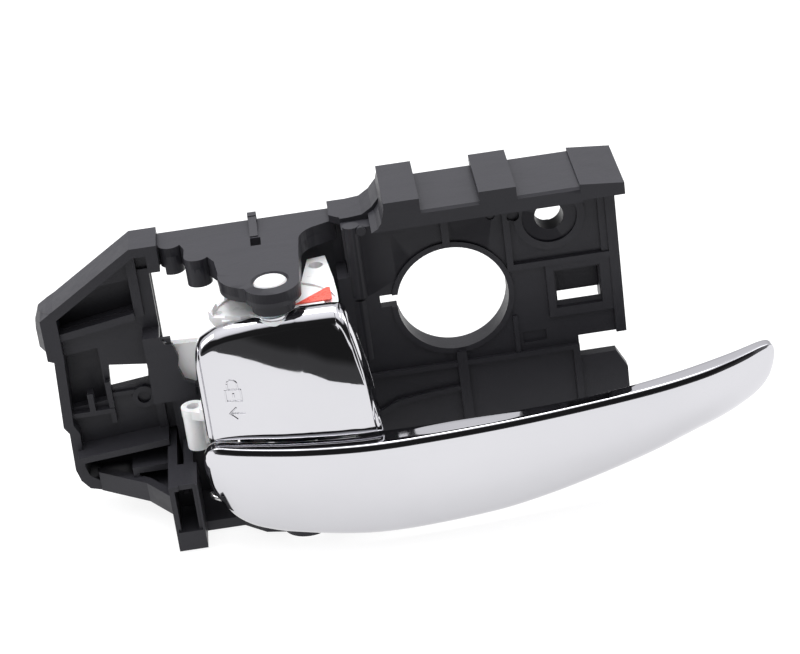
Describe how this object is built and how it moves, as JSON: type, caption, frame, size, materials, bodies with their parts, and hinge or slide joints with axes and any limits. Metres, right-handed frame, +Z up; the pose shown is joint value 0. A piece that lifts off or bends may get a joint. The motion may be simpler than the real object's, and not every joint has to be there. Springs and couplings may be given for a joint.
{
  "type": "car interior door handle",
  "caption": "Interior door release handle: chromed pull lever and lock rocker on one pivot pin, carried by a black moulded base plate with a ledge, fixing hole and side wing",
  "frame": {"origin": "centre of the fixing screw hole, on the front face of the base plate", "axes": "+X to the right as seen from the cabin, +Y into the door, +Z up; the pivot pin is vertical"},
  "size_m": [0.1699, 0.0493, 0.0744],
  "materials": {
    "base_plastic": "moulded satin",
    "carrier_plastic": "moulded satin",
    "chrome": "polished",
    "white_plastic": "natural acetal",
    "red_mark": "gloss",
    "steel": "zinc plated",
    "rubber": "matte"
  },
  "bodies": {
    "base": {"housing": "base_plastic", "lower_bush": "white_plastic", "pivot_pin": "white_plastic", "retaining_ring": "steel", "upper_washer": "white_plastic", "mid_washer": "white_plastic", "lower_washer": "steel", "detent_ball": "steel", "detent_spring": "steel", "bump_stop": "rubber"},
    "lever": {"pull_lever": "chrome", "lever_carrier": "carrier_plastic", "carrier_screws": "steel", "return_spring": "steel", "spring_sleeve": "white_plastic", "cable_clip": "white_plastic"},
    "lock": {"lock_cap": "chrome", "lock_cam": "white_plastic", "lock_indicator": "red_mark", "rod_clip": "white_plastic"}
  },
  "joints": [
    {"name": "lever_pull", "type": "hinge", "parent": "base", "child": "lever", "pos_m": [-0.065, -0.0188, -0.045], "axis": [0, 0, -1], "range_deg": [0, 38], "stiffness_Nm_per_rad": 0.25, "springref_deg": -20.05, "deforming": ["return_spring"]},
    {"name": "lock_turn", "type": "hinge", "parent": "base", "child": "lock", "pos_m": [-0.065, -0.0188, -0.02], "axis": [0, 0, -1], "range_deg": [0, 10]}
  ]
}
